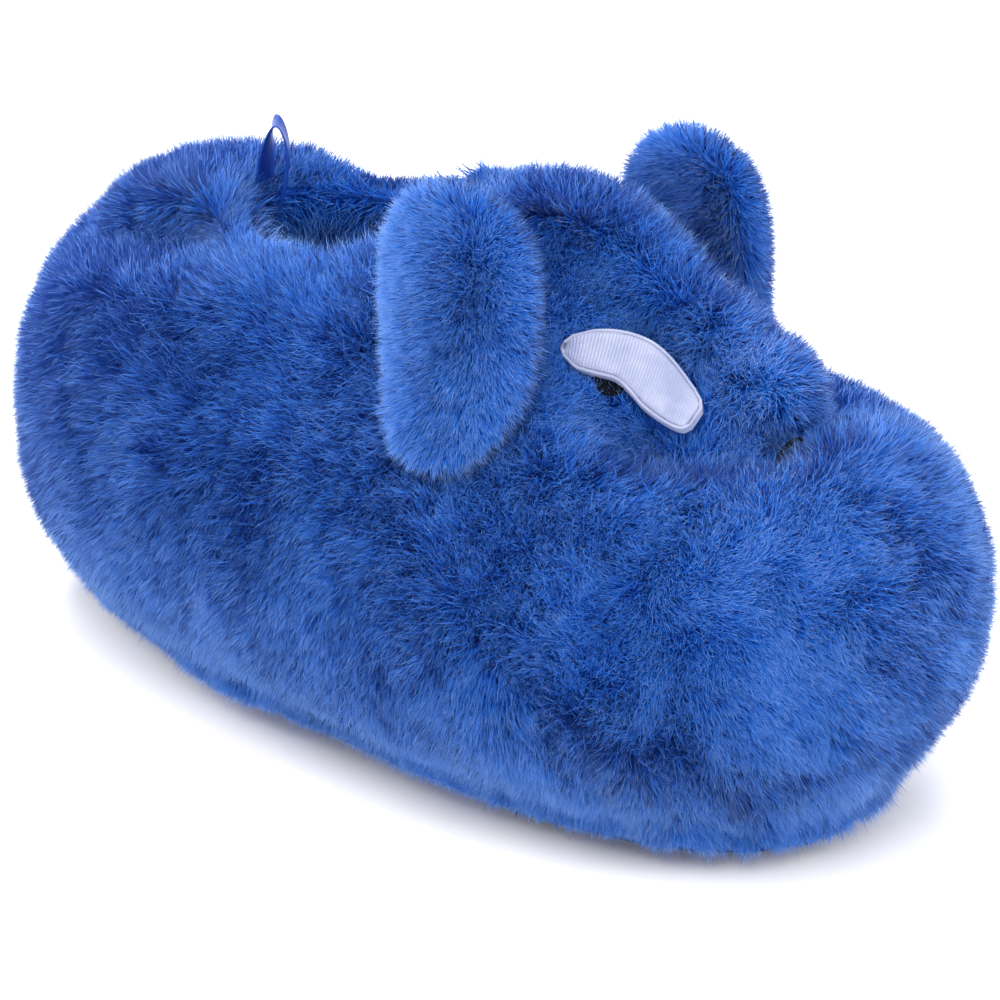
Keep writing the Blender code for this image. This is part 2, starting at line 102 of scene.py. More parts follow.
# Creases, given one by one: points in millimetres from the heel's back, the middle and the floor on the
# right side, mirrored to the left, then the width and the depth in millimetres. A ridge is negative.
CREASES = (
    ("heel fold", ((16, -9, 68), (19, -13, 68), (26, -15.5, 70), (39, -17.6, 74), (51, -18.4, 77), (64, -20, 80)),
     3.6, 4.6),
    ("lip of the heel fold", ((20, -22, 61), (32, -25, 65), (48, -27, 69), (62, -28, 73)), 5.5, -2.2),
    ("collar over the heel fold", ((20, -8, 75), (36, -11, 80), (46, -12, 83)), 4.0, -1.2),
    ("hollow under the eye", ((137, -24, 72), (141, -23, 71), (145, -22.5, 68.5)), 4.2, 6.0),
    ("smile trough", ((145, -22.5, 68.5), (151, -18.7, 67), (156, -14.5, 68), (164, -8, 69)), 3.8, 3.0),
    ("nose trough", ((163, -9, 69), (166, -2.5, 71.5), (167, 0, 71.5)), 4.0, 5.4),
    ("end of the nose", ((174, -8, 66), (175, 0, 68)), 6.0, -1.0),
    ("bridge of the nose", ((149, 0, 81), (160, 0, 77)), 7.5, -2.6),
    ("side of the forehead", ((112, -17, 92), (124, -16, 92), (133, -14, 89), (141, -13, 82)), 7.0, 4.5),
    ("eye socket", ((133, -17, 80), (150, -15, 76)), 6.0, 1.0),
)

# Painted light and shade on the pile: darker in the hollows, the creases and the shaded middle of the side, lighter
# where light and sheen fall: place as for the creases, reach, tone
PAINTED_LIGHT_SPOTS = (
    ((74, -36, 59), 19, -0.26), ((105, -45, 44), 14, -0.12), ((158, -38, 45), 15, -0.15),
    ((128, -10, 92), 14, -0.12), ((133, -42, 51), 12, -0.12), ((77, -46, 30), 16, 0.10),
    ((187, -7, 56), 16, 0.10), ((167, -17, 66), 8, 0.08), ((32, -33, 50), 18, 0.14),
    ((74, -24, 78), 9, -0.14), ((157, -5, 77), 8, 0.30), ((28, -10, 77), 12, -0.06),
    ((143, -22.8, 69.5), 4.2, -0.70), ((165, -8, 69.5), 3.8, -0.70), ((167, -4, 71), 3.5, -0.45),
    ((152, -22, 64), 6, 0.16),
)


def smooth_step(value, low, high):
    t = np.clip((value - low) / (high - low), 0, 1)
    return t * t * (3 - 2 * t)


def unit(vectors):
    length = np.linalg.norm(vectors, axis=-1, keepdims=True)
    return vectors / np.maximum(length, 1e-9)


def waves(points, size, seed):
    """Smooth random values, about -1 to 1, that change over the given size."""
    generator = np.random.default_rng(seed)
    direction = generator.normal(size=(3, 9)) * 2 * np.pi / size / 1.9
    phase = generator.uniform(0, 2 * np.pi, 9)
    return np.sin(points @ direction + phase).sum(axis=1) / 3.0


def sway(points, size, seed):
    return np.stack([waves(points, size, seed + k) for k in range(3)], axis=1)


def smooth_column(values, t):
    """A value from a table's column at a fractional row, on a curve through every row."""
    v = np.asarray(values, float)
    i = np.clip(np.floor(t).astype(int), 0, len(v) - 2)
    f = t - i
    here, after = v[i], v[i + 1]
    before = np.where(i > 0, v[np.maximum(i - 1, 0)], 2 * here - after)
    beyond = np.where(i < len(v) - 2, v[np.minimum(i + 2, len(v) - 1)], 2 * after - here)
    rise_here, rise_after = (after - before) / 2, (beyond - here) / 2
    return ((2 * f**3 - 3 * f**2 + 1) * here + (f**3 - 2 * f**2 + f) * rise_here
            + (-2 * f**3 + 3 * f**2) * after + (f**3 - f**2) * rise_after)


def patch_axes(place, side):
    """A sewn patch's middle, its run, its up and the direction it faces, on one side of the shoe."""
    flip = np.array([1, -side, 1])
    centre, faces, run = (np.array(v) * flip for v in place[:3])
    faces = unit(faces)
    run = unit(run - faces * (run @ faces))
    return centre, run, np.cross(faces, run) * -side, faces


def edges_at(outline, along):
    """The lower and the upper edge of an outline at places along its run."""
    rows = np.interp(along, [row[0] for row in outline], np.arange(len(outline)))
    return [smooth_column([row[k] for row in outline], rows) for k in (1, 2)]


# Camera, floor and lights

def place_camera():
    azimuth, elevation = np.radians(41.56), np.radians(23.77)
    back = Vector((np.sin(azimuth) * np.cos(elevation), -np.cos(azimuth) * np.cos(elevation),
                   np.sin(elevation)))
    data = bpy.data.cameras.new("camera")
    data.lens, data.sensor_width = 188.1, 36.0
    data.shift_x, data.shift_y = 0.0248, -0.0340
    data.clip_start, data.clip_end = 0.05, 20.0
    camera = bpy.data.objects.new("camera", data)
    camera.location = Vector((0.003, 0, 0.0418)) + back * 0.855
    camera.rotation_euler = (-back).to_track_quat("-Z", "Y").to_euler()
    bpy.context.scene.collection.objects.link(camera)
    bpy.context.scene.camera = camera


def area_light(name, place, aim, size, power, colour):
    data = bpy.data.lights.new(name, "AREA")
    data.shape, data.size, data.energy, data.color = "DISK", size, power, colour
    lamp = bpy.data.objects.new(name, data)
    lamp.location = place
    lamp.rotation_euler = (Vector(aim) - Vector(place)).to_track_quat("-Z", "Y").to_euler()
    bpy.context.scene.collection.objects.link(lamp)


def set_the_stage():
    world = bpy.data.worlds.new("studio")
    bpy.context.scene.world = world
    world.use_nodes = True
    world.node_tree.nodes["Background"].inputs["Color"].default_value = (1, 1, 1, 1)
    world.node_tree.nodes["Background"].inputs["Strength"].default_value = 1.2
    bm = bmesh.new()
    bmesh.ops.create_grid(bm, x_segments=1, y_segments=1, size=6.0)
    mesh = bpy.data.meshes.new("floor")
    bm.to_mesh(mesh)
    bm.free()
    floor = bpy.data.objects.new("floor", mesh)
    bpy.context.scene.collection.objects.link(floor)
    paper = plain_material("white paper", (0.93, 0.93, 0.94), 0.9)
    mesh.materials.append(paper)
    area_light("key", (0.55, -0.75, 1.35), (0.0, 0.0, 0.04), 0.9, 13.0, (1.0, 0.985, 0.96))
    area_light("heel light", (-1.0, -0.5, 0.6), (-0.05, 0.0, 0.05), 0.8, 9.0, (1.0, 1.0, 1.0))
    area_light("back light", (-0.75, 0.65, 0.95), (0.0, 0.0, 0.05), 0.8, 13.0, (0.97, 0.98, 1.0))
    area_light("toe light", (1.1, 0.25, 0.55), (0.05, 0.0, 0.05), 0.7, 6.0, (1.0, 1.0, 1.0))
    bpy.context.scene.view_settings.view_transform = "Standard"


# Materials

def plain_material(name, colour, roughness):
    made = bpy.data.materials.new(name)
    made.use_nodes = True
    shader = made.node_tree.nodes["Principled BSDF"]
    shader.inputs["Base Color"].default_value = (*colour, 1)
    shader.inputs["Roughness"].default_value = roughness
    return made


def mottle_group():
    """Soft patches of light and dark over the surface, between 0 and 1."""
    group = bpy.data.node_groups.new("mottle", "ShaderNodeTree")
    group.interface.new_socket("Size", in_out="INPUT", socket_type="NodeSocketFloat")
    group.interface.new_socket("Detail", in_out="INPUT", socket_type="NodeSocketFloat")
    group.interface.new_socket("Patches", in_out="OUTPUT", socket_type="NodeSocketFloat")
    tree, links = group.nodes, group.links
    given, made = tree.new("NodeGroupInput"), tree.new("NodeGroupOutput")
    place, noise = tree.new("ShaderNodeTexCoord"), tree.new("ShaderNodeTexNoise")
    spread = tree.new("ShaderNodeMapRange")
    spread.inputs["From Min"].default_value, spread.inputs["From Max"].default_value = 0.33, 0.67
    links.new(place.outputs["Object"], noise.inputs["Vector"])
    links.new(given.outputs["Size"], noise.inputs["Scale"])
    links.new(given.outputs["Detail"], noise.inputs["Detail"])
    links.new(noise.outputs["Fac"], spread.inputs["Value"])
    links.new(spread.outputs["Result"], made.inputs["Patches"])
    return group


def weave_group():
    """The height of a fine cloth weave."""
    group = bpy.data.node_groups.new("weave", "ShaderNodeTree")
    group.interface.new_socket("Threads", in_out="INPUT", socket_type="NodeSocketFloat")
    group.interface.new_socket("Height", in_out="OUTPUT", socket_type="NodeSocketFloat")
    tree, links = group.nodes, group.links
    given, made = tree.new("NodeGroupInput"), tree.new("NodeGroupOutput")
    place = tree.new("ShaderNodeTexCoord")
    heights = []
    for direction in ("X", "Y"):
        wave = tree.new("ShaderNodeTexWave")
        wave.bands_direction = direction
        wave.inputs["Distortion"].default_value = 1.2
        links.new(place.outputs["Object"], wave.inputs["Vector"])
        links.new(given.outputs["Threads"], wave.inputs["Scale"])
        heights.append(wave.outputs["Fac"])
    both = tree.new("ShaderNodeMath")
    both.operation = "MULTIPLY"
    links.new(heights[0], both.inputs[0])
    links.new(heights[1], both.inputs[1])
    links.new(both.outputs[0], made.inputs["Height"])
    return group


def ramp(tree, stops):
    node = tree.new("ShaderNodeValToRGB")
    node.color_ramp.elements[0].position, node.color_ramp.elements[0].color = stops[0][0], (*stops[0][1], 1)
    node.color_ramp.elements[1].position, node.color_ramp.elements[1].color = stops[1][0], (*stops[1][1], 1)
    for position, colour in stops[2:]:
        node.color_ramp.elements.new(position).color = (*colour, 1)
    return node


def mix_colours(tree, links, blend, factor, first, second):
    node = tree.new("ShaderNodeMix")
    node.data_type, node.blend_type = "RGBA", blend
    for socket, value in ((node.inputs[0], factor), (node.inputs[6], first), (node.inputs[7], second)):
        if isinstance(value, bpy.types.NodeSocket):
            links.new(value, socket)
        else:
            socket.default_value = value
    return node.outputs[2]


def hair_material(name, along, tints, sheen, groups, patch_size=70.0):
    """Hair from its root to its tip along v, darker towards the root as painted shade deep in the pile, with each
    hair's own tint along u, which also carries the coat's painted light and shade.
    """
    made = bpy.data.materials.new(name)
    made.use_nodes = True
    tree, links = made.node_tree.nodes, made.node_tree.links
    shader = tree["Principled BSDF"]
    where = tree.new("ShaderNodeUVMap")
    where.uv_map = "OFBake"
    parts = tree.new("ShaderNodeSeparateXYZ")
    links.new(where.outputs["UV"], parts.inputs["Vector"])
    length, tint = ramp(tree, along), ramp(tree, tints)
    links.new(parts.outputs["Y"], length.inputs["Fac"])
    links.new(parts.outputs["X"], tint.inputs["Fac"])
    mottle = tree.new("ShaderNodeGroup")
    mottle.node_tree = groups["mottle"]
    mottle.inputs["Size"].default_value, mottle.inputs["Detail"].default_value = patch_size, 2.0
    patches = ramp(tree, ((0.0, (0.90, 0.92, 0.95)), (1.0, (1.0, 1.0, 1.0))))
    links.new(mottle.outputs["Patches"], patches.inputs["Fac"])
    coloured = mix_colours(tree, links, "MULTIPLY", 1.0, length.outputs["Color"], tint.outputs["Color"])
    coloured = mix_colours(tree, links, "MULTIPLY", 1.0, coloured, patches.outputs["Color"])
    links.new(coloured, shader.inputs["Base Color"])
    shader.inputs["Roughness"].default_value = 0.62
    shader.inputs["Specular IOR Level"].default_value = 0.06
    shader.inputs["Sheen Weight"].default_value = sheen
    shader.inputs["Sheen Roughness"].default_value = 0.45
    shader.inputs["Sheen Tint"].default_value = (0.38, 0.60, 1.0, 1)
    return made


def cloth_material(name, dark, light, roughness, bump, threads, groups, sheen=0.0, gloss=0.35):
    made = bpy.data.materials.new(name)
    made.use_nodes = True
    tree, links = made.node_tree.nodes, made.node_tree.links
    shader = tree["Principled BSDF"]
    mottle = tree.new("ShaderNodeGroup")
    mottle.node_tree = groups["mottle"]
    mottle.inputs["Size"].default_value, mottle.inputs["Detail"].default_value = 220.0, 3.0
    colours = ramp(tree, ((0.0, dark), (1.0, light)))
    links.new(mottle.outputs["Patches"], colours.inputs["Fac"])
    links.new(colours.outputs["Color"], shader.inputs["Base Color"])
    weave = tree.new("ShaderNodeGroup")
    weave.node_tree = groups["weave"]
    weave.inputs["Threads"].default_value = threads
    relief = tree.new("ShaderNodeBump")
    relief.inputs["Strength"].default_value, relief.inputs["Distance"].default_value = 0.6, bump
    links.new(weave.outputs["Height"], relief.inputs["Height"])
    links.new(relief.outputs["Normal"], shader.inputs["Normal"])
    shader.inputs["Roughness"].default_value = roughness
    shader.inputs["Specular IOR Level"].default_value = gloss
    shader.inputs["Sheen Weight"].default_value = sheen
    return made


def make_materials():
    groups = {"mottle": mottle_group(), "weave": weave_group()}
    # The pile and the nap run darker towards the root: painted shade deep in the pile. The tints turn each hair's
    # tone, partly its own random tone and partly painted light and shade, into a darker or lighter colour.
    pile = ((0.0, (0.001, 0.040, 0.300)), (1.0, (0.170, 0.325, 0.750)),
            (0.35, (0.002, 0.066, 0.430)), (0.70, (0.018, 0.135, 0.565)))
    tints = ((0.0, (0.08, 0.36, 0.60)), (1.0, (2.30, 1.50, 1.20)),
             (0.22, (0.30, 0.68, 0.88)), (0.5, (1.0, 1.0, 1.0)))
    nap = ((0.0, (0.030, 0.070, 0.200)), (1.0, (0.200, 0.320, 0.600)))
    return {
        "pile": hair_material("blue pile", pile, tints, 0.60, groups),
        "nap": hair_material("blue grey fleece nap", nap, tints, 0.2, groups, 160.0),
        "backing": cloth_material("pile backing", (0.002, 0.060, 0.380), (0.004, 0.090, 0.480),
                                  0.9, 0.0002, 900.0, groups),
        "fleece": cloth_material("fleece", (0.060, 0.120, 0.300), (0.110, 0.200, 0.420),
                                 0.95, 0.0004, 420.0, groups),
        "sole": cloth_material("sole cloth", (0.010, 0.035, 0.160), (0.016, 0.055, 0.240),
                               0.85, 0.0003, 700.0, groups),
        "white": cloth_material("white thread", (0.27, 0.31, 0.48), (0.38, 0.41, 0.57),
                                0.42, 0.0001, 1400.0, groups, 0.1),
        "black": cloth_material("black thread", (0.003, 0.003, 0.005), (0.006, 0.006, 0.010),
                                0.60, 0.0001, 1400.0, groups, gloss=0.05),
        "grip": cloth_material("grip dots", (0.008, 0.020, 0.090), (0.012, 0.030, 0.120),
                               0.5, 0.00005, 1200.0, groups),
        "satin": cloth_material("blue satin", (0.004, 0.035, 0.260), (0.010, 0.055, 0.340),
                                0.38, 0.00006, 1800.0, groups, gloss=0.2),
    }


# Shapes

def merged_copy(node):
    bm = bmesh.new()
    bm.from_mesh(nodes[node].data)
    bmesh.ops.remove_doubles(bm, verts=bm.verts, dist=1e-5)
    bm.normal_update()
    return bm


def finish_piece(name, bm, materials, replaced, smooth=True):
    for face in bm.faces:
        face.smooth = smooth
    mesh = bpy.data.meshes.new(name)
    bm.to_mesh(mesh)
    bm.free()
    for made in materials:
        mesh.materials.append(made)
    piece = bpy.data.objects.new(name, mesh)
    bpy.context.scene.collection.objects.link(piece)
    return settle(piece, replaced)


def settle(piece, replaced):
    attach(piece, "root")
    if replaced:
        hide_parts(*replaced)
    return piece


def is_outside(centre, normal):
    """True for the pile's side of the upper, False for the lining's side."""
    if centre.z > 0.045 and normal.z > 0.15:
        return True
    if centre.z > 0.045 and centre.x < 0.010:
        middle = Vector((OPENING_X, 0, centre.z))
    else:
        x = min(max(centre.x, -0.055), 0.060)
        middle = Vector((x, 0, 0.032))
    return normal.dot(centre - middle) > 0


def from_heel(points):
    """Places in mm from the heel's back, folded onto one side."""
    return np.stack([points[:, 0] - HEEL_BACK, -np.abs(points[:, 1]), points[:, 2]], axis=1) * 1000


# Painted light and shade on the pile from the table above: darker in hollows and shaded parts, lighter where light
# and sheen fall
def painted_light_and_shade(points):
    p = from_heel(points)
    return sum(tone * np.exp(-((p - np.array(place)) ** 2).sum(axis=1) / reach**2) for place, reach, tone in PAINTED_LIGHT_SPOTS)


def crease_depth(points):
    """How far the listed creases sink the surface at each point."""
    p = from_heel(points)
    total = np.zeros(len(p))
    for _, path, width, depth in CREASES:
        away = np.full(len(p), 1e6)
        for start, end in zip(path, path[1:]):
            a, b = np.array(start, float), np.array(end, float)
            s = np.clip(((p - a) @ (b - a)) / ((b - a) @ (b - a)), 0, 1)
            away = np.minimum(away, np.linalg.norm(p - (a + s[:, None] * (b - a)), axis=1))
        total += depth * np.exp(-((away / width) ** 2))
    return total / 1000


def make_shell():
    """The stuffed upper under the pile, one closed skin: material 0 outside, 1 in the lining."""
    bm = merged_copy("upper")
    solid = BVHTree.FromBMesh(bm)
    pile = bm.verts.layers.float.new("pile")
    for face in bm.faces:
        face.material_index = 0 if is_outside(face.calc_center_median(), face.normal) else 1
    bmesh.ops.subdivide_edges(bm, edges=bm.edges, cuts=1, use_grid_fill=True)
    coat = [v for v in bm.verts if all(f.material_index == 0 for f in v.link_faces) and v.co.z > 0.006]
    for _ in range(14):
        bmesh.ops.smooth_vert(bm, verts=coat, factor=0.5, use_axis_x=True, use_axis_y=True, use_axis_z=True)
    bm.normal_update()
    sunk = crease_depth(np.array([v.co for v in coat]))
    moves = []
    for v, depth in zip(coat, sunk):
        hit = solid.ray_cast(v.co - v.normal * 0.0015, -v.normal, 0.05)
        wall = hit[3] + 0.0015 if hit[3] is not None else 0.02
        v[pile] = min(PILE_DEPTH, 0.5 * wall)
        moves.append(v.co - v.normal * min(PILE_DEPTH + depth, 0.65 * wall))
    for v, place in zip(coat, moves):
        v.co = place
    for _ in range(3):
        bmesh.ops.smooth_vert(bm, verts=coat, factor=0.4, use_axis_x=True, use_axis_y=True, use_axis_z=True)
    bm.normal_update()
    return bm


class Cloth:
    """A skin that hairs are planted on: its triangles, their areas and the corners' normals."""

    def __init__(self, bm, wanted):
        bm.verts.ensure_lookup_table()
        bm.verts.index_update()
        self.points = np.array([v.co for v in bm.verts])
        self.normals = np.array([v.normal for v in bm.verts])
        pile = bm.verts.layers.float.get("pile")
        self.depths = np.array([v[pile] if pile else PILE_DEPTH for v in bm.verts])
        corners = []
        for face in bm.faces:
            if wanted(face):
                ids = [v.index for v in face.verts]
                corners += [(ids[0], ids[k], ids[k + 1]) for k in range(1, len(ids) - 1)]
        self.corners = np.array(corners)
        a, b, c = (self.points[self.corners[:, k]] for k in range(3))
        self.areas = np.linalg.norm(np.cross(b - a, c - a), axis=1) / 2

    def plant(self, count, generator, share=None):
        """Roots spread evenly over the skin, or by a share of each triangle."""
        weight = self.areas if share is None else self.areas * share((self.points[self.corners]).mean(axis=1))
        picked = generator.choice(len(self.corners), count, p=weight / weight.sum())
        u, v = generator.random(count), generator.random(count)
        over = u + v > 1
        u[over], v[over] = 1 - u[over], 1 - v[over]
        mix = np.stack([1 - u - v, u, v], axis=1)[..., None]
        ids = self.corners[picked]
        self.depth = (self.depths[ids] * mix[..., 0]).sum(axis=1)
        return (self.points[ids] * mix).sum(axis=1), unit((self.normals[ids] * mix).sum(axis=1))


def hair_mesh(name, root, tip, outward, width, tint, generator, finish):
    """Joins flat hairs into one mesh; each is broad at its root and ends in a point."""
    count = len(root)
    run = unit(tip - root)
    side = unit(np.cross(run, outward))
    lift = unit(np.cross(side, run))
    twist = np.clip(generator.normal(0, 0.6, count), -1.2, 1.2)[:, None]
    half = (side * np.cos(twist) + lift * np.sin(twist)) * width[:, None] / 2
    facing = lift * np.cos(twist) - side * np.sin(twist)
    corners = np.stack([root - half, root + half, tip], axis=1)
    corners[..., 2] = np.maximum(corners[..., 2], 0.0004)
    mesh = bpy.data.meshes.new(name)
    mesh.vertices.add(count * 3)
    mesh.vertices.foreach_set("co", corners.astype(np.float32).ravel())
    mesh.loops.add(count * 3)
    mesh.loops.foreach_set("vertex_index", np.arange(count * 3, dtype=np.int32))
    mesh.polygons.add(count)
    mesh.polygons.foreach_set("loop_start", np.arange(0, count * 3, 3, dtype=np.int32))
    uv = np.empty((count, 3, 2), np.float32)
    uv[..., 0] = np.clip(tint, 0.01, 0.99)[:, None]
    uv[..., 1] = np.array([0.0, 0.0, 1.0])
    layer = mesh.uv_layers.new(name="OFBake")
    layer.data.foreach_set("uv", uv.ravel())
    mesh.update(calc_edges=True)
    mesh.polygons.foreach_set("use_smooth", np.ones(count, bool))
    normal = unit(outward * 0.85 + facing * 0.25 + run * 0.25)
    mesh.normals_split_custom_set_from_vertices(np.repeat(normal, 3, axis=0))
    mesh.materials.append(finish)
    piece = bpy.data.objects.new(name, mesh)
    bpy.context.scene.collection.objects.link(piece)
    return piece


def grow(name, root, normal, lie, length, width, pull, tuft, seed, finish, tone=0.0):
    """Hairs that lean from the skin's normal towards their lie, gathered into tufts at the tips."""
    generator = np.random.default_rng(seed)
    count = len(root)
    heads = root[generator.choice(count, max(8, int(count * tuft)), replace=False)]
    tree = KDTree(len(heads))
    for k, head in enumerate(heads):
        tree.insert(head, k)
    tree.balance()
    own = np.array([tree.find(p)[1] for p in root])
    head_length = generator.uniform(0.90, 1.08, len(heads))
    head_bend = generator.normal(0, 0.13, (len(heads), 3))
    head_tint = generator.normal(0, 0.05, len(heads))
    long = length * head_length[own] * generator.uniform(0.72, 1.06, count)
    stray = generator.random(count) < 0.02
    long[stray] *= 1.25
    lie = lie + head_bend[own] + generator.normal(0, 0.30, (count, 3))
    lie = lie - normal * (lie * normal).sum(axis=1, keepdims=True)
    tip = root + unit(normal * 0.90 + lie) * long[:, None]
    tip = tip + (heads[own] - root) * (pull * generator.uniform(0.4, 1.4, count))[:, None]
    broad = width * generator.uniform(0.7, 1.3, count)
    # The tone carries the coat's painted light and shade; the tufts' and the hairs' own tints vary at random
    tint = 0.5 + tone + head_tint[own] + generator.normal(0, 0.13, count) + 0.20 * stray
    return hair_mesh(name, root, tip, normal, broad, tint, generator, finish)


def coat_lie(points, normals):
    """The way the pile is brushed: forward and down on the sides, out over the muzzle, up at the rim."""
    muzzle = smooth_step(points[:, 0], 0.005, 0.045)[:, None]
    top = smooth_step(normals[:, 2], 0.35, 0.85)[:, None]
    hem = smooth_step(-points[:, 2], -0.027, -0.004)[:, None]
    roll = (smooth_step(points[:, 2], 0.068, 0.074) * smooth_step(-points[:, 0], 0.042, 0.050))[:, None]
    rim = (smooth_step(points[:, 2], 0.062, 0.074) * (1 - smooth_step(points[:, 0], -0.01, 0.012)))[:, None]
    lie = np.array([0.55, 0, -0.42]) * (1 - muzzle) + np.array([0.36, 0, -0.08]) * muzzle
    lie = lie * (1 - 0.45 * top) + np.array([0.15, 0, 0.0]) * top
    lie = lie * (1 - rim) + np.array([0.10, 0, 0.45]) * rim
    lie = lie * (1 - roll) + np.array([0.45, 0, -0.20]) * roll
    lie = lie * (1 - hem) + np.array([0.10, 0, -0.95]) * hem
    return lie + sway(points, 0.034, 11) * 0.20 + sway(points, 0.010, 21) * (0.12 + 0.12 * muzzle)


def keep_off_patch(place, outline, root, lie, depth):
    """Marks the roots under a sewn patch, and turns the pile round it: away above, over it below."""
    side = np.where(root[:, 1] > 0, 1, -1)
    folded = root * np.stack([np.ones(len(root)), -side, np.ones(len(root))], axis=1)
    centre, run, up, faces = patch_axes(place, -1)
    u, v, w = ((folded - centre) @ axis for axis in (run, up, faces))
    half = place[3]
    low, high = edges_at(outline, np.clip(u / half, outline[0][0], outline[-1][0]))
    beyond = np.maximum(np.abs(u) - half, 0)
    above, below = v - high * half, low * half - v
    away = np.hypot(np.maximum(np.maximum(above, below), 0), beyond)
    near = np.abs(w) < 0.012
    under = near & (away < 0.0004)
    close = near * smooth_step(-away, -0.0042, -0.0006)
    mirror_up = up * np.stack([np.ones(len(root)), -side, np.ones(len(root))], axis=1)
    turned = mirror_up * np.where(above > below, 0.8, 0.55)[:, None]
    lie = lie * (1 - close)[:, None] + turned * close[:, None]
    depth = depth * (1 - close * np.where(above > below, 0.35, 0.12))
    return under, lie, depth


def make_coat(cloth, materials):
    """The body's pile in four pieces, from the heel to the muzzle."""
    ends = (-0.2, -0.045, 0.0, 0.042, 0.2)
    middles = cloth.points[cloth.corners].mean(axis=1)
    for k, (name, count) in enumerate(COAT_HAIRS.items()):
        def share(centres, low=ends[k], high=ends[k + 1]):
            inside = (centres[:, 0] >= low) & (centres[:, 0] < high)
            near = np.where(centres[:, 1] < 0.012, 1.0, 0.8)
            return inside * near
        generator = np.random.default_rng(40 + k)
        root, normal = cloth.plant(count, generator, share)
        lie, depth = coat_lie(root, normal), cloth.depth
        bare, lie, depth = keep_off_patch(EYE, WHITE_OUTLINE, root, lie, depth)
        hem = smooth_step(-root[:, 2], -0.014, -0.006)
        depth = depth * (1 + 0.06 * waves(root, 0.02, 5) + 0.30 * hem)
        depth = depth - np.clip(0.80 * crease_depth(root), 0, 0.0030)
        length = (depth + TIP_REACH) * 1.25
        # Painted shade: the pile is darker the deeper its crease and lighter on the ridges, on top of the painted
        # light and shade from the table; the waves add a little random tone
        tone = painted_light_and_shade(root) - 125 * crease_depth(root) + 0.05 * waves(root, 0.008, 9)
        left = ~bare
        piece = grow(name, root[left], normal[left], lie[left], length[left], HAIR_WIDTH, 0.22,
                     0.016, 60 + k, materials["pile"], tone[left])
        settle(piece, ())


def make_upper(materials):
    shell = make_shell()
    coat = Cloth(shell, lambda f: f.material_index == 0 and not (f.normal.z < -0.7 and f.calc_center_median().z < 0.006))
    throat = Cloth(shell, lambda f: f.material_index == 1 and f.calc_center_median().z > 0.054)
    lining = Cloth(shell, lambda f: f.material_index == 1 and 0.004 < f.calc_center_median().z <= 0.056)
    for face in shell.faces:
        if face.calc_center_median().z > 0.054:
            face.material_index = 0
    finish_piece("upper_shell", shell, [materials["backing"], materials["fleece"]], ["upper"])
    make_coat(coat, materials)
    generator = np.random.default_rng(71)
    root, normal = throat.plant(THROAT_HAIRS, generator)
    lie = np.array([0.0, 0.0, -0.5]) + sway(root, 0.02, 31) * 0.3
    settle(grow("pile_throat", root, normal, lie, np.full(len(root), 0.0060), 0.00032, 0.3, 0.014, 72,
                materials["pile"]), ())
    root, normal = lining.plant(FLEECE_HAIRS, generator)
    lie = sway(root, 0.006, 33) * 1.2
    settle(grow("fleece_nap", root, normal, lie, np.full(len(root), 0.0030), 0.0006, 0.9, 0.06, 73,
                materials["nap"]), ())


def turn(vector, axis, degrees):
    angle, axis = np.radians(degrees), np.asarray(axis, float)
    return (vector * np.cos(angle) + np.cross(axis, vector) * np.sin(angle)
            + axis * (axis @ vector) * (1 - np.cos(angle)))


def make_ear(node, side, middle, half_width, half_height, half_thick, lean, flare, turned, materials, seed):
    """A stuffed pad with a squared outline that bows out over the cheek, and its pile."""
    axes = [np.array((1.0, 0, 0)), np.array((0, 0, -1.0)), np.array((0, 1.0, 0))]
    for axis, degrees in (((0, 1, 0), -lean), ((1, 0, 0), flare), ((0, 0, 1), turned)):
        axes = [turn(v, axis, degrees) for v in axes]
    across, down, out = [v * (1, side, 1) for v in axes]
    middle = np.array(middle)
    bm = bmesh.new()
    bmesh.ops.create_uvsphere(bm, u_segments=48, v_segments=24, radius=1.0)
    for v in bm.verts:
        radius = max(np.hypot(v.co.x, v.co.y), 1e-6)
        cos, sin = v.co.x / radius, v.co.y / radius
        square = max(abs(cos) ** 2.6 + abs(sin) ** 2.6, 0.1) ** (-1 / 2.6)
        a, b = cos * square * radius, sin * square * radius
        thick = np.sign(v.co.z) * abs(v.co.z) ** 0.75
        bow = EAR_BOW * max(b, 0.0) ** 2 - 0.4 * EAR_BOW * a * a
        flat = across * a * (1 - 0.10 * b) * (half_width - EAR_PILE_DEPTH) + down * b * (half_height - EAR_PILE_DEPTH)
        v.co = Vector(middle + flat + out * (thick * (half_thick - EAR_PILE_DEPTH) + bow))
    if bm.calc_volume(signed=True) < 0:
        bmesh.ops.reverse_faces(bm, faces=bm.faces)
    bm.normal_update()
    cloth = Cloth(bm, lambda f: True)
    pad = finish_piece(node + "_pad", bm, [materials["backing"]], [node])
    generator = np.random.default_rng(seed)
    root, normal = cloth.plant(EAR_HAIRS, generator)
    centre = middle - down * 0.006
    spread = root - centre
    a, b = spread @ across / half_width, spread @ down / half_height
    lie = across * a[:, None] * 0.75 + down * (b * 0.75 + 0.15)[:, None] + sway(root, 0.012, seed) * 0.18
    settle(grow("pile_" + node, root, normal, lie, np.full(len(root), 0.0047), 0.00025, 0.25, 0.018,
                seed + 1, materials["pile"]), ())


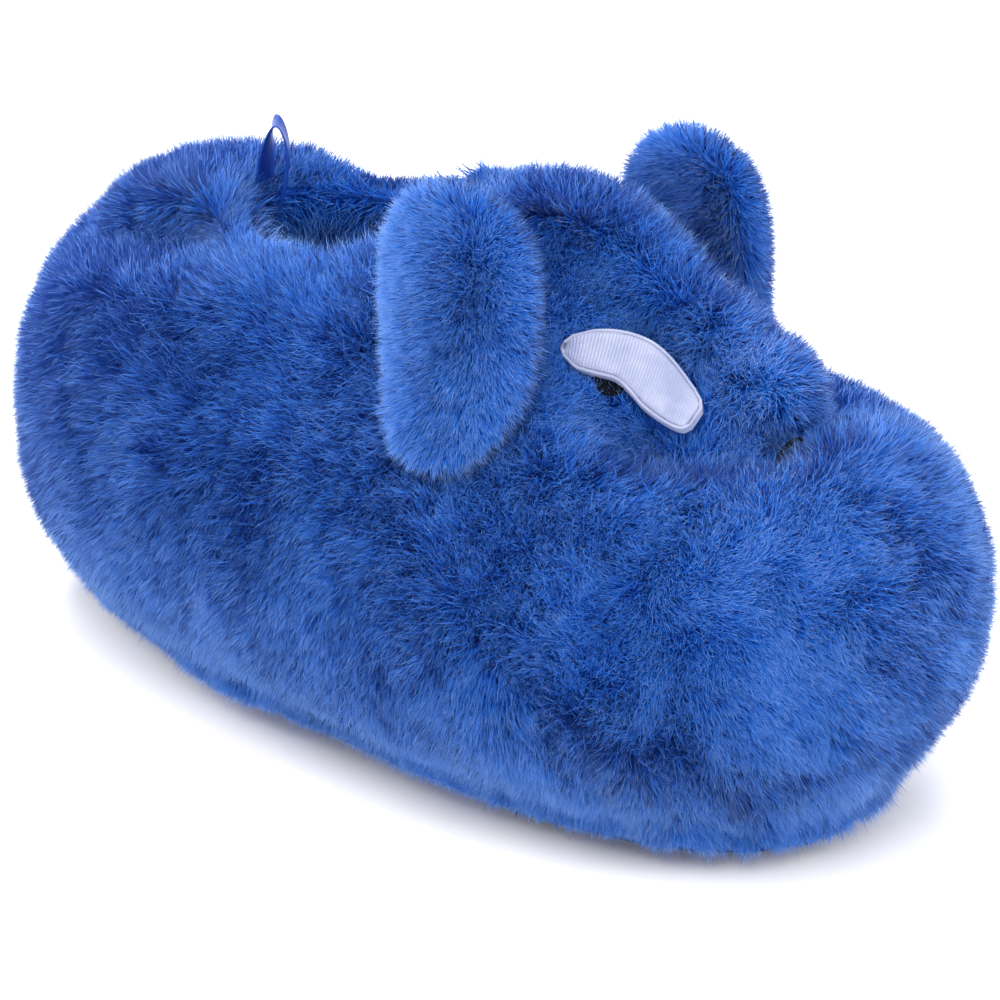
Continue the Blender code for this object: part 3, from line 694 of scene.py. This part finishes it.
def patch_sheet(place, side, reach_up):
    """A smooth bowed sheet over the pile's surface at a patch, as a function of run and up."""
    centre, run, up, faces = patch_axes(place, side)
    surface = BVHTree.FromBMesh(merged_copy("upper"))
    u, v = (a.ravel() for a in np.meshgrid(np.linspace(-1, 1, 11), np.linspace(-reach_up, reach_up, 7)))
    heights = []
    for a, b in zip(u, v):
        start = centre + (run * a + up * b) * place[3] + faces * 0.02
        heights.append(0.02 - surface.ray_cast(Vector(start), Vector(-faces), 0.06)[3])
    terms = np.stack([np.ones(len(u)), u, v, u * u, u * v, v * v], axis=1)
    fit = np.linalg.lstsq(terms, np.array(heights), rcond=None)[0]

    def at(a, b, lift):
        height = np.array([1, a, b, a * a, a * b, b * b]) @ fit + lift
        return Vector(centre + (run * a + up * b) * place[3] + faces * height)
    return at


def make_embroidery(name, place, outline, side, rows, thickness, pitch, finish, replaced):
    """A padded patch of satin stitch: a domed sheet with one low ridge for each thread."""
    at = patch_sheet(place, side, 0.5)
    half = place[3]
    bm = bmesh.new()
    bmesh.ops.create_grid(bm, x_segments=rows[0], y_segments=rows[1], size=1.0)
    for v in bm.verts:
        s, t = v.co.x, v.co.y
        along = outline[0][0] + (s + 1) / 2 * (outline[-1][0] - outline[0][0])
        low, high = edges_at(outline, np.array([along]))
        across = low[0] + (high[0] - low[0]) * (t + 1) / 2
        dome = (1 - abs(t) ** 9) * (1 - abs(s) ** 18)
        thread = abs(np.sin(np.pi * (along * half / pitch + 1.6 * t)))
        lift = -0.0004 + thickness * dome + 0.00016 * thread * dome - 0.0012 * (1 - dome) ** 2
        v.co = at(along, across, lift)
    bm.normal_update()
    bmesh.ops.recalc_face_normals(bm, faces=bm.faces)
    faces = patch_axes(place, side)[3]
    if sum((f.normal for f in bm.faces), Vector()).dot(Vector(faces)) < 0:
        bmesh.ops.reverse_faces(bm, faces=bm.faces)
    return finish_piece(name, bm, [finish], replaced)


def make_border(name, place, outline, side, finish):
    """The raised edge of a patch, stitched across its width."""
    at = patch_sheet(place, side, 0.5)
    stations, ring = 260, 8
    s = np.concatenate([np.cos(np.linspace(np.pi, 0, stations // 2, endpoint=False)),
                        np.cos(np.linspace(0, np.pi, stations // 2, endpoint=False))])
    low, high = edges_at(outline, s)
    top = np.arange(stations) < stations // 2
    edge = np.stack([s, np.where(top, high, low)], axis=1)
    inward = unit(np.array([0.0, 0.0]) - edge + np.array([0.0, -0.02]))
    edge = edge + inward * 0.022
    bm = bmesh.new()
    loops = []
    for k in range(stations):
        before, after = edge[k - 1], edge[(k + 1) % stations]
        run = unit(after - before)
        cross = np.array([-run[1], run[0]])
        stitch = 1 + 0.22 * (k % 2)
        loop = []
        for angle in np.linspace(0, 2 * np.pi, ring, endpoint=False):
            a, b = edge[k] + cross * np.cos(angle) * 0.020 * stitch
            loop.append(bm.verts.new(at(a, b, 0.0002 + 0.00025 * stitch * np.sin(angle))))
        loops.append(loop)
    for k in range(stations):
        here, after = loops[k], loops[(k + 1) % stations]
        for j in range(ring):
            bm.faces.new((here[j], here[(j + 1) % ring], after[(j + 1) % ring], after[j]))
    bm.normal_update()
    bmesh.ops.recalc_face_normals(bm, faces=bm.faces)
    return finish_piece(name, bm, [finish], [])


def make_face(materials):
    for word, side in (("left", 1), ("right", -1)):
        make_embroidery("eye_thread_" + word, EYE, WHITE_OUTLINE, side, (300, 18), 0.0010, 0.00052,
                        materials["white"], ["eye_white_" + word])
        make_border("eye_border_" + word, EYE, WHITE_OUTLINE, side, materials["white"])
        make_embroidery("pupil_thread_" + word, EYE, PUPIL_OUTLINE, side, (120, 10), -0.0012, 0.00042,
                        materials["black"], ["eye_pupil_" + word])
        make_embroidery("nostril_thread_" + word, NOSTRIL, NOSTRIL_OUTLINE, side, (40, 10), -0.0014,
                        0.00042, materials["black"], ["nostril_" + word])


def make_pull_loop(materials):
    """A folded satin ribbon, cupped a little across its width, with a firm woven edge."""
    t = np.linspace(0, len(RIBBON_PATH) - 1, 65)
    x = smooth_column([row[0] for row in RIBBON_PATH], t) / 1000 + HEEL_BACK
    z = smooth_column([row[1] for row in RIBBON_PATH], t) / 1000
    twist = np.radians(smooth_column([row[2] for row in RIBBON_PATH], t))
    run = np.stack([np.gradient(x), np.gradient(z)], axis=1)
    run = unit(run)
    bm = bmesh.new()
    bmesh.ops.create_grid(bm, x_segments=8, y_segments=64, size=1.0)
    for v in bm.verts:
        across = v.co.x
        k = int(round((v.co.y + 1) / 2 * 64))
        out = np.array([-run[k][1], 0, run[k][0]])
        edge = np.array([np.sin(twist[k]), np.cos(twist[k]), 0])
        cup = 0.00035 * (across**2 - 0.4) + 0.00010 * (abs(across) > 0.9)
        v.co = np.array([x[k], 0, z[k]]) + edge * across * RIBBON_WIDTH / 2 + out * cup
    bm.normal_update()
    bmesh.ops.solidify(bm, geom=bm.faces, thickness=0.0003)
    bmesh.ops.recalc_face_normals(bm, faces=bm.faces)
    finish_piece("ribbon_loop", bm, [materials["satin"]], ["pull_loop"])


def make_sole(materials):
    """The cloth sole with rows of small raised grip dots under it."""
    bm = merged_copy("outsole")
    bmesh.ops.subdivide_edges(bm, edges=[e for e in bm.edges if e.calc_length() > 0.02], cuts=2)
    finish_piece("sole_cloth", bm, [materials["sole"]], ["outsole"], smooth=False)
    low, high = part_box("outsole")
    outline = BVHTree.FromBMesh(merged_copy("outsole"))
    dots = bmesh.new()
    pitch = 0.0058
    for row in range(int((high.y - low.y) / pitch) + 1):
        for column in range(int((high.x - low.x) / pitch) + 1):
            x = low.x + 0.004 + (column + 0.5 * (row % 2)) * pitch
            y = low.y + 0.003 + row * pitch
            spots = [Vector((x + dx, y + dy, -0.01)) for dx, dy in ((0.003, 0), (-0.003, 0), (0, 0.003), (0, -0.003))]
            if all(outline.ray_cast(p, Vector((0, 0, 1)), 0.05)[0] for p in spots):
                made = bmesh.ops.create_cone(dots, cap_ends=True, segments=10, radius1=0.0010, radius2=0.0014,
                                             depth=0.0005)
                bmesh.ops.translate(dots, verts=made["verts"], vec=(x, y, 0.00026))
    finish_piece("grip_dots", dots, [materials["grip"]], [], smooth=False)


def make_rest(materials):
    make_pull_loop(materials)
    make_sole(materials)
    bed = merged_copy("insole")
    for face in bed.faces:
        face.smooth = False
    finish_piece("foot_bed", bed, [materials["fleece"]], ["insole"], smooth=False)


place_camera()
set_the_stage()
materials = make_materials()
make_upper(materials)
for ear in EARS:
    make_ear(*ear, materials, 101)
make_face(materials)
make_rest(materials)
